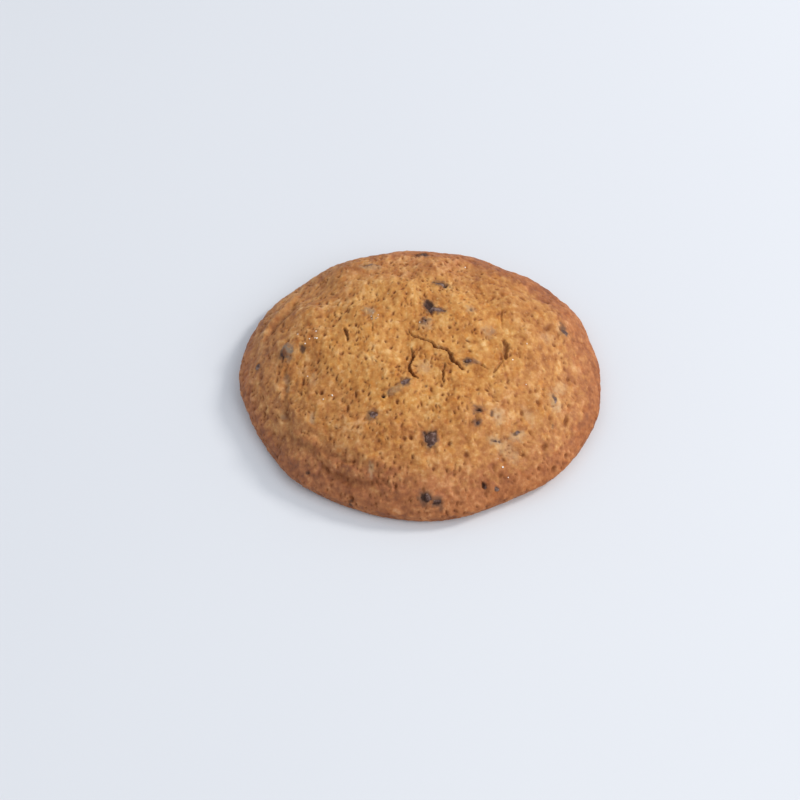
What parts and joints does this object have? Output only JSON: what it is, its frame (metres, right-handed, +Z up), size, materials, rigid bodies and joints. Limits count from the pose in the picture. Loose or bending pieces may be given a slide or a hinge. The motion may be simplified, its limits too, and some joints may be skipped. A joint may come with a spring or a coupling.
{
  "type": "chocolate chip cookie",
  "caption": "Thick soft-baked chocolate chip cookie, domed and round, with a cracked golden brown crust and chips showing through it.",
  "frame": {"origin": "middle of the cookie's outline, on the surface it lies on", "axes": "+Z up through the crown, +Y away from the side that faced the camera, +X to its right"},
  "size_m": [0.1086, 0.1042, 0.0214],
  "materials": {
    "baked_dough": "golden brown baked crust, matte and grainy, with fine pores, darker and redder at the edge",
    "chocolate": "dark chocolate, satin, softened by baking"
  },
  "bodies": {
    "root": {"dough": "baked_dough", "chip_01": "chocolate", "chip_02": "chocolate", "chip_03": "chocolate", "chip_04": "chocolate", "chip_05": "chocolate", "chip_06": "chocolate", "chip_07": "chocolate", "chip_08": "chocolate", "chip_09": "chocolate", "chip_10": "chocolate", "chip_11": "chocolate", "chip_12": "chocolate", "chip_13": "chocolate", "chip_14": "chocolate", "chip_15": "chocolate", "chip_16": "chocolate", "chip_17": "chocolate", "chip_18": "chocolate"}
  },
  "joints": []
}
